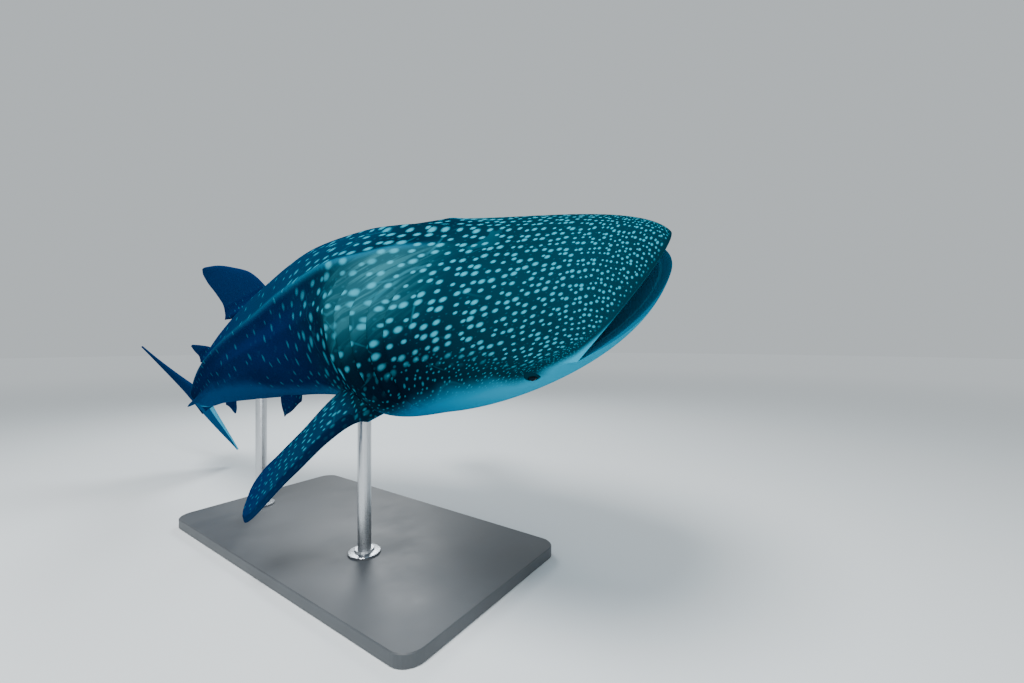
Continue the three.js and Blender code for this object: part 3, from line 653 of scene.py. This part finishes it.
def make_eye(side, mirror):
    """An eyeball, whose gaze value is the angle from the middle of its pupil."""
    bm = bmesh.new()
    bmesh.ops.create_uvsphere(bm, u_segments=48, v_segments=32, radius=EYE_RADIUS)
    spot = eye_spot(mirror)
    layer = bm.verts.layers.float.new("gaze")
    for v in bm.verts:
        v[layer] = math.degrees(math.acos(max(-1.0, min(1.0, v.co.z / EYE_RADIUS))))
        swell = bump(v[layer], 30) * EYE_SWELL
        v.co = spot @ (v.co * (1 + swell / EYE_RADIUS) - Vector((0, 0, EYE_SINK)))
    return finish_mesh(bm, "eye_" + side)


# Materials
class Finish:
    """A material under construction: short names for the nodes that its recipe needs."""

    def __init__(self, name):
        self.material = bpy.data.materials.new(name)
        self.material.use_nodes = True
        self.nodes = self.material.node_tree.nodes
        self.links = self.material.node_tree.links
        self.shader = self.nodes["Principled BSDF"]

    def put(self, socket, value):
        if isinstance(value, bpy.types.NodeSocket):
            self.links.new(value, socket)
        elif value is not None:
            socket.default_value = value

    def math(self, kind, a, b=None, c=None, clamp=False):
        node = self.nodes.new("ShaderNodeMath")
        node.operation = kind
        node.use_clamp = clamp
        for socket, value in zip(node.inputs, (a, b, c)):
            self.put(socket, value)
        return node.outputs[0]

    def times(self, first, *others):
        for other in others:
            first = self.math("MULTIPLY", first, other)
        return first

    def rest(self, share, clamp=False):
        return self.math("SUBTRACT", 1.0, share, clamp=clamp)

    def step(self, low, high, value):
        node = self.nodes.new("ShaderNodeMapRange")
        node.interpolation_type = "SMOOTHSTEP"
        for socket, given in zip(node.inputs, (value, low, high, 0.0, 1.0)):
            self.put(socket, given)
        return node.outputs[0]

    def ramp(self, value, low, high, out_low, out_high):
        node = self.nodes.new("ShaderNodeMapRange")
        for socket, given in zip(node.inputs, (value, low, high, out_low, out_high)):
            self.put(socket, given)
        return node.outputs[0]

    def blend(self, share, a, b, kind="MIX"):
        node = self.nodes.new("ShaderNodeMix")
        node.data_type = "RGBA"
        node.blend_type = kind
        self.put(node.inputs[0], share)
        self.put(node.inputs[6], a)
        self.put(node.inputs[7], b)
        return node.outputs[2]

    def value(self, name):
        node = self.nodes.new("ShaderNodeAttribute")
        node.attribute_name = name
        return node.outputs["Fac"]

    def map_of(self, name):
        node = self.nodes.new("ShaderNodeUVMap")
        node.uv_map = name
        return node.outputs[0]

    def place(self):
        return self.nodes.new("ShaderNodeTexCoord").outputs["Object"]

    def noise(self, vector, scale, detail=3.0, roughness=0.55):
        node = self.nodes.new("ShaderNodeTexNoise")
        self.put(node.inputs["Vector"], vector)
        for name, given in (("Scale", scale), ("Detail", detail), ("Roughness", roughness)):
            node.inputs[name].default_value = given
        return node.outputs["Fac"]

    def stretch(self, vector, scale, shift=(0, 0, 0), turn=0.0):
        node = self.nodes.new("ShaderNodeMapping")
        self.put(node.inputs["Vector"], vector)
        node.inputs["Scale"].default_value = scale
        node.inputs["Location"].default_value = shift
        node.inputs["Rotation"].default_value = (0, 0, turn)
        return node.outputs[0]

    def cells(self, vector, randomness):
        node = self.nodes.new("ShaderNodeTexVoronoi")
        node.voronoi_dimensions = "2D"
        node.inputs["Scale"].default_value = 1.0
        node.inputs["Randomness"].default_value = randomness
        self.put(node.inputs["Vector"], vector)
        return node

    def vector(self, kind, a, b):
        node = self.nodes.new("ShaderNodeVectorMath")
        node.operation = kind
        self.put(node.inputs[0], a)
        self.put(node.inputs[1], b)
        return node.outputs["Value" if kind in ("LENGTH", "DOT_PRODUCT", "DISTANCE") else "Vector"]

    def bump(self, height, distance, strength=1.0, under=None):
        node = self.nodes.new("ShaderNodeBump")
        node.inputs["Strength"].default_value = strength
        node.inputs["Distance"].default_value = distance
        self.put(node.inputs["Height"], height)
        self.put(node.inputs["Normal"], under)
        return node.outputs[0]

    def set(self, **sockets):
        for name, given in sockets.items():
            self.put(self.shader.inputs[name.replace("_", " ")], given)


def rgb(red, green, blue):
    """A colour given as it looks on a screen, 0 to 255."""
    def linear(c):
        c /= 255
        return c / 12.92 if c <= 0.04045 else ((c + 0.055) / 1.055) ** 2.4
    return (linear(red), linear(green), linear(blue), 1.0)


def split(f, vector):
    node = f.nodes.new("ShaderNodeSeparateXYZ")
    f.put(node.inputs[0], vector)
    return node.outputs


def spot_layer(f, where, randomness, wide, tall, size_low, size_high):
    """Rounded spots, one to a cell: how far a place is from its spot's edge, and the cell's own chance."""
    cells = f.cells(where, randomness)
    off = split(f, f.vector("SUBTRACT", where, cells.outputs["Position"]))
    x = f.math("DIVIDE", off[0], wide)
    y = f.math("DIVIDE", off[1], tall)
    reach = f.math("SQRT", f.math("ADD", f.times(x, x), f.times(y, y)))
    chance = f.nodes.new("ShaderNodeSeparateColor")
    f.put(chance.inputs[0], cells.outputs["Color"])
    size = f.ramp(chance.outputs[0], 0.0, 1.0, size_low, size_high)
    return f.math("DIVIDE", reach, size), chance.outputs[1]


def flow_lines(f, where, scale, seed, width):
    """Thin broken lines that curl over the skin: the contours of a soft cloud."""
    cloud = f.noise(f.stretch(where, (scale, scale, scale), seed), 1.0, 0)
    off = f.math("ABSOLUTE", f.math("SUBTRACT", cloud, 0.5))
    line = f.rest(f.step(width * 0.3, width, off))
    breaks = f.stretch(where, (BREAK_SCALE, BREAK_SCALE, BREAK_SCALE), seed[::-1])
    return f.times(line, f.step(0.5, 0.6, f.noise(breaks, 1.0, 1)))


BREAK_SCALE = 3.4
# Some of these colours stand for light: a painted sheen on the shoulder, a painted highlight along the top
# of the upper ridge and under the tail, painted light on the paired fins' upper faces, and painted shade on
# the low flank, deep in the mouth and in the gill slits.
SKIN = {name: rgb(*colour) for name, colour in {
    "head": (0, 42, 54), "gills": (0, 28, 44), "flank": (0, 29, 74), "over_ridge": (0, 46, 70),
    "paired_fin": (0, 46, 72), "paired_fin_edge": (0, 24, 48), "back_fin": (0, 40, 82),
    "low_front_shade": (0, 12, 28), "low_rear_shade": (0, 26, 62),
    "cloud_front": (0, 56, 72), "cloud_rear": (0, 42, 88),
    "shoulder": (56, 122, 134), "crest": (18, 100, 128), "spot": (50, 150, 172),
    "chin": (24, 144, 176), "throat": (0, 100, 140), "belly": (0, 60, 104),
    "tail": (0, 74, 118), "tail_edge_highlight": (70, 176, 212),
    "lip": (50, 164, 194), "lining": (8, 110, 144), "lining_deep_shade": (2, 42, 70),
    "lining_fold": (60, 170, 200), "slit": (1, 10, 18),
}.items()}


def painted_flank_shade(f, at):
    """Painted shade: the low flank darkened above the pale underside, and a painted shadow right under the
    upper ridge.
    """
    low = f.times(f.step(-6.0, -1.5, at["pale"]), f.step(0.06, 0.18, at["station"]))
    under_ridge = f.times(f.step(0.0, -0.6, at["back"]), f.step(0.17, 0.23, at["station"]))
    return f.math("MAXIMUM", low, under_ridge)


def painted_shoulder_sheen(f, at, spots):
    """Painted sheen: a pale patch of light with slanting streaks behind the head, under the upper ridge."""
    off = f.math("ABSOLUTE", f.math("SUBTRACT", at["station"], 0.205))
    patch = f.times(f.rest(f.step(0.0, 0.072, off)), f.rest(f.step(-7.2, -3.8, at["pale"])))
    patch = f.times(patch, f.rest(at["back"], clamp=True))
    streak = f.stretch(f.stretch(spots, (1, 1, 1), turn=-0.75), (0.25, 2.2, 1), (4.4, 1.3, 0))
    return f.times(patch, f.ramp(f.step(0.46, 0.62, f.noise(streak, 1.0, 2)), 0.0, 1.0, 0.3, 0.58))


def skin_ground(f, at, where, spots, low, paired):
    """The skin between the spots: teal on the head, navy down the flank, near-black low on it and under the
    upper ridge where shade is painted, blue behind, with a painted sheen on the shoulder, a painted
    highlight along the upper ridge and painted light on the paired fins' upper faces.
    """
    station = at["station"]
    ground = f.blend(f.step(0.07, 0.2, station), SKIN["head"], SKIN["gills"])
    ground = f.blend(f.step(0.22, 0.42, station), ground, SKIN["flank"])
    above = f.times(f.step(0.2, 0.26, station), f.rest(f.step(0.46, 0.6, station)), at["back"])
    ground = f.blend(f.times(above, 0.7), ground, SKIN["over_ridge"])
    # Painted light: the paired fins' upper faces lightened, more on the pectorals than on the pelvics.
    painted_fin_light = f.ramp(f.step(0.33, 0.4, station), 0.0, 1.0, 0.6, 0.15)
    ground = f.blend(f.times(paired, painted_fin_light), ground, SKIN["paired_fin"])
    plain = f.blend(f.step(0.42, 0.46, station), SKIN["paired_fin_edge"], SKIN["back_fin"])
    ground = f.blend(f.step(0.55, 0.8, at["fin"]), ground, plain)
    # Painted shade: the low flank, and the band just under the upper ridge, darkened.
    low_shade_colour = f.blend(f.step(0.2, 0.4, station), SKIN["low_front_shade"], SKIN["low_rear_shade"])
    ground = f.blend(f.times(low, 0.75), ground, low_shade_colour)
    cloud = f.step(0.4, 0.75, f.noise(where, 1.7, 4))
    cloud_colour = f.blend(f.step(0.25, 0.45, station), SKIN["cloud_front"], SKIN["cloud_rear"])
    ground = f.blend(f.times(cloud, 0.3), ground, cloud_colour)
    # Painted sheen: a pale patch of light behind the head.
    ground = f.blend(painted_shoulder_sheen(f, at, spots), ground, SKIN["shoulder"])
    # Painted highlight along the top of the upper ridge, fading towards the rear.
    return f.blend(f.times(at["crest"], f.ramp(station, 0.3, 0.5, 0.6, 0.3)), ground, SKIN["crest"])


def skin_marks(f, at, where, spots, low, paired):
    """Spots in loose rows, faint small ones between them, close ones low on the cheek, and thin lines."""
    station, pale = at["station"], at["pale"]
    rear = f.step(0.26, 0.44, station)
    wide = f.ramp(rear, 0.0, 1.0, 0.31, 0.085)
    tall = f.ramp(rear, 0.0, 1.0, 0.25, 0.17)
    reach, _ = spot_layer(f, spots, 0.6, wide, tall, 0.6, 1.1)
    big = f.rest(f.step(0.35, 1.35, reach))
    closer = f.stretch(spots, (1.7, 1.7, 1.0), (0.37, 0.61, 0))
    near, chance = spot_layer(f, closer, 0.85, 0.24, 0.2, 0.6, 1.05)
    small = f.rest(f.step(0.4, 1.25, near))
    between = f.times(small, f.step(0.4, 0.55, chance), f.step(1.5, 2.1, reach))
    marks = f.math("MAXIMUM", big, f.times(between, 0.1))
    cheek = f.times(f.step(-3.6, -1.6, pale), f.rest(f.step(0.22, 0.3, station)))
    marks = f.ramp(cheek, 0.0, 1.0, marks, f.times(small, 0.6))
    lines = f.math("MAXIMUM", flow_lines(f, where, 3.4, (3.1, 7.7, 1.0), 0.018),
                   flow_lines(f, where, 2.8, (9.3, 2.2, 4.0), 0.015))
    lines = f.times(lines, f.step(0.09, 0.16, station), f.rest(f.step(0.26, 0.4, station)))
    marks = f.math("MAXIMUM", marks, f.times(lines, 0.16))
    dim = f.ramp(f.step(0.15, 0.4, station), 0.0, 1.0, 0.95, 0.34)
    # Spots fade where painted shade darkens the low flank.
    dim = f.math("MAXIMUM", f.times(dim, f.rest(f.times(low, 0.35))), f.times(paired, 0.6))
    over = f.times(f.rest(f.step(0.0, 1.8, pale)), f.rest(at["fin"]), f.step(0.015, 0.07, at["lip"]))
    return f.times(marks, dim, over)


def pale_underside(f, at, where, colour):
    station, pale = at["station"], at["pale"]
    edge = f.math("ADD", pale, f.ramp(f.noise(where, 5.0, 2), 0.3, 0.7, -0.3, 0.3))
    on_tail = f.step(0.76, 0.82, station)
    belly = f.blend(f.step(0.06, 0.2, station), SKIN["chin"], SKIN["throat"])
    belly = f.blend(f.step(0.25, 0.45, station), belly, SKIN["belly"])
    belly = f.blend(on_tail, belly, SKIN["tail"])
    # Far down on the tail the pale underside brightens further: a painted highlight along the tail stalk's
    # underside and the lower lobe's leading edge.
    belly = f.blend(f.times(on_tail, f.step(3.0, 6.0, pale)), belly, SKIN["tail_edge_highlight"])
    return f.blend(f.step(-1.2, 1.5, edge), colour, belly)


def mouth_lining(f, at, colour):
    """The lining, darkened deeper into the mouth by painted shade, with its one fold, which reaches over
    the lower lip, and a thin pale edge to the lips.
    """
    inward, pale = at["inward"], at["pale"]
    inside = f.step(0.012, 0.03, inward)
    # Painted shade: the lining darkens deeper into the mouth.
    lining = f.blend(f.step(0.06, 0.6, inward), SKIN["lining"], SKIN["lining_deep_shade"])
    fold = f.rest(f.step(0.006, 0.014, f.math("ABSOLUTE", f.math("SUBTRACT", inward, 0.075))))
    lining = f.blend(f.times(fold, 0.4), lining, SKIN["lining_fold"])
    colour = f.blend(inside, colour, lining)
    rim = f.times(f.rest(f.step(0.0, 0.012, at["lip"])), f.rest(inside),
                  f.ramp(pale, -2.0, 1.0, 0.15, 0.25))
    return f.blend(rim, colour, SKIN["lip"])


def skin_finish():
    f = Finish("spotted_skin")
    at = {name: f.value(name) for name in MEASURES}
    where = f.place()
    spots = f.map_of("spots")
    # Painted shade on the low flank and under the upper ridge.
    low = painted_flank_shade(f, at)
    paired = f.times(f.step(0.03, 0.08, at["fin"]), f.rest(f.step(0.42, 0.5, at["fin"])))
    ground = skin_ground(f, at, where, spots, low, paired)
    colour = f.blend(skin_marks(f, at, where, spots, low, paired), ground, SKIN["spot"])
    colour = mouth_lining(f, at, pale_underside(f, at, where, colour))
    # Painted shade, near black, deep in the gill slits and on the eyelids' inner sides.
    colour = f.blend(f.times(f.step(0.2, 0.9, at["slit"]), 0.8), colour, SKIN["slit"])

    grain = f.noise(where, 420.0, 2)
    wear = f.noise(where, 24.0, 5)
    relief = f.bump(wear, 0.004, 0.25)
    relief = f.bump(grain, 0.0012, 0.35, relief)
    f.set(Base_Color=colour, Roughness=f.ramp(wear, 0.3, 0.7, 0.5, 0.66), Normal=relief,
          Specular_IOR_Level=0.0)
    return f.material


def eye_finish():
    """Black in the pupil, a dark ring round it, and nearly black beyond."""
    f = Finish("eye")
    gaze = f.value("gaze")
    colour = f.blend(f.step(19, 22, gaze), rgb(0, 3, 6), rgb(0, 22, 34))
    colour = f.blend(f.step(32, 44, gaze), colour, rgb(0, 7, 13))
    f.set(Base_Color=colour, Roughness=0.25, Specular_IOR_Level=0.05)
    return f.material


def base_finish():
    f = Finish("painted_base")
    where = f.place()
    speck = f.noise(where, 180.0, 3)
    cloud = f.noise(where, 3.0, 4)
    colour = f.blend(f.step(0.35, 0.7, cloud), rgb(66, 70, 74), rgb(76, 80, 84))
    f.set(Base_Color=colour, Roughness=f.ramp(cloud, 0.3, 0.7, 0.42, 0.55),
          Normal=f.bump(speck, 0.0006, 0.3))
    return f.material


def steel_finish(name, shade):
    f = Finish(name)
    brushed = f.noise(f.stretch(f.place(), (90, 90, 900)), 1.0, 3)
    f.set(Base_Color=shade, Metallic=1.0, Roughness=f.ramp(brushed, 0.3, 0.7, 0.22, 0.4),
          Normal=f.bump(brushed, 0.0004, 0.25))
    return f.material


AIR = rgb(222, 230, 234)
AIR_STRENGTH = 0.75


def floor_finish():
    """A pale floor that fades into the air's own colour far from the stand."""
    f = Finish("studio_floor")
    far = f.step(5.0, 26.0, f.vector("LENGTH", f.place(), (0.0, 0.0, 0.0)))
    f.set(Base_Color=f.blend(far, rgb(226, 231, 233), rgb(0, 0, 0)), Roughness=0.7,
          Specular_IOR_Level=0.1, Emission_Color=AIR, Emission_Strength=f.times(far, AIR_STRENGTH))
    return f.material


# The pieces: the skin over the flesh, the eyes, and the stand's own nodes in better materials
FLESH = ["head", "lower_jaw", "gill_region", "trunk_front", "trunk_middle", "trunk_rear", "tail_stalk",
         "first_dorsal_fin", "second_dorsal_fin", "anal_fin",
         "caudal_fin_upper_lobe", "caudal_fin_lower_lobe",
         "pectoral_fin_right", "pectoral_fin_left", "pelvic_fin_right", "pelvic_fin_left"]

skin = make_skin()
skin.data.materials.append(skin_finish())
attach(skin, "root")
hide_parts(*FLESH)

for side, mirror in (("right", 1), ("left", -1)):
    eye = make_eye(side, mirror)
    eye.data.materials.append(eye_finish())
    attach(eye, "root")
    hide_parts("eye_" + side)

finishes = {"stand_base": base_finish(), "stand_rod": steel_finish("brushed_rod", rgb(200, 202, 205)),
            "stand_collar": steel_finish("brushed_collar", rgb(168, 171, 175))}
for name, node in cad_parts.items():
    for start, finish in finishes.items():
        if name.startswith(start):
            node.data.materials.clear()
            node.data.materials.append(finish)

# The studio: floor, lights and camera
FLOOR_RADIUS = 60
bm = bmesh.new()
bmesh.ops.create_circle(bm, cap_ends=True, segments=96, radius=FLOOR_RADIUS)
floor = finish_mesh(bm, "studio_floor")
floor.data.materials.append(floor_finish())


def add_light(name, place_at, aim, size, power, tint=(1, 1, 1)):
    data = bpy.data.lights.new(name, "AREA")
    data.shape = "DISK"
    data.size = size
    data.energy = power
    data.color = tint
    lamp = bpy.data.objects.new(name, data)
    lamp.location = place_at
    lamp.rotation_euler = (Vector(aim) - Vector(place_at)).to_track_quat("-Z", "Y").to_euler()
    bpy.context.scene.collection.objects.link(lamp)


add_light("key", (1.5, -3.5, 8.0), (0.6, 0, 1.8), 3.5, 900)
add_light("fill", (6.5, -5.0, 2.5), (1.2, 0, 1.8), 4.0, 160, (0.92, 0.97, 1))
add_light("rim", (-5.5, 4.5, 5.5), (-1.0, 0, 1.6), 3.0, 350, (0.92, 0.97, 1))

world = bpy.data.worlds.new("studio_air")
bpy.context.scene.world = world
world.use_nodes = True
air = world.node_tree.nodes["Background"]
air.inputs["Color"].default_value = AIR
air.inputs["Strength"].default_value = AIR_STRENGTH

# The camera looks level, at the photo's angle: its distance from the pivot is in the shark's lengths,
# and its focal length in the picture's own dots
AZIMUTH = math.radians(34.84)
CAMERA_TO_PIVOT = (-0.1346, 0.0203, -0.4687)
PICTURE_WIDTH = 1024
FOCAL_LENGTH = 430
SENSOR_WIDTH = 36
right = Vector((math.cos(AZIMUTH), math.sin(AZIMUTH), 0))
behind = Vector((math.sin(AZIMUTH), -math.cos(AZIMUTH), 0))
across, above, away = (share * LENGTH for share in CAMERA_TO_PIVOT)
camera_data = bpy.data.cameras.new("camera")
camera_data.sensor_width = SENSOR_WIDTH
camera_data.lens = FOCAL_LENGTH / PICTURE_WIDTH * SENSOR_WIDTH
camera = bpy.data.objects.new("camera", camera_data)
camera.location = PIVOT - right * across - UP * above - behind * away
camera.rotation_euler = (math.pi / 2, 0, AZIMUTH)
bpy.context.scene.collection.objects.link(camera)
bpy.context.scene.camera = camera
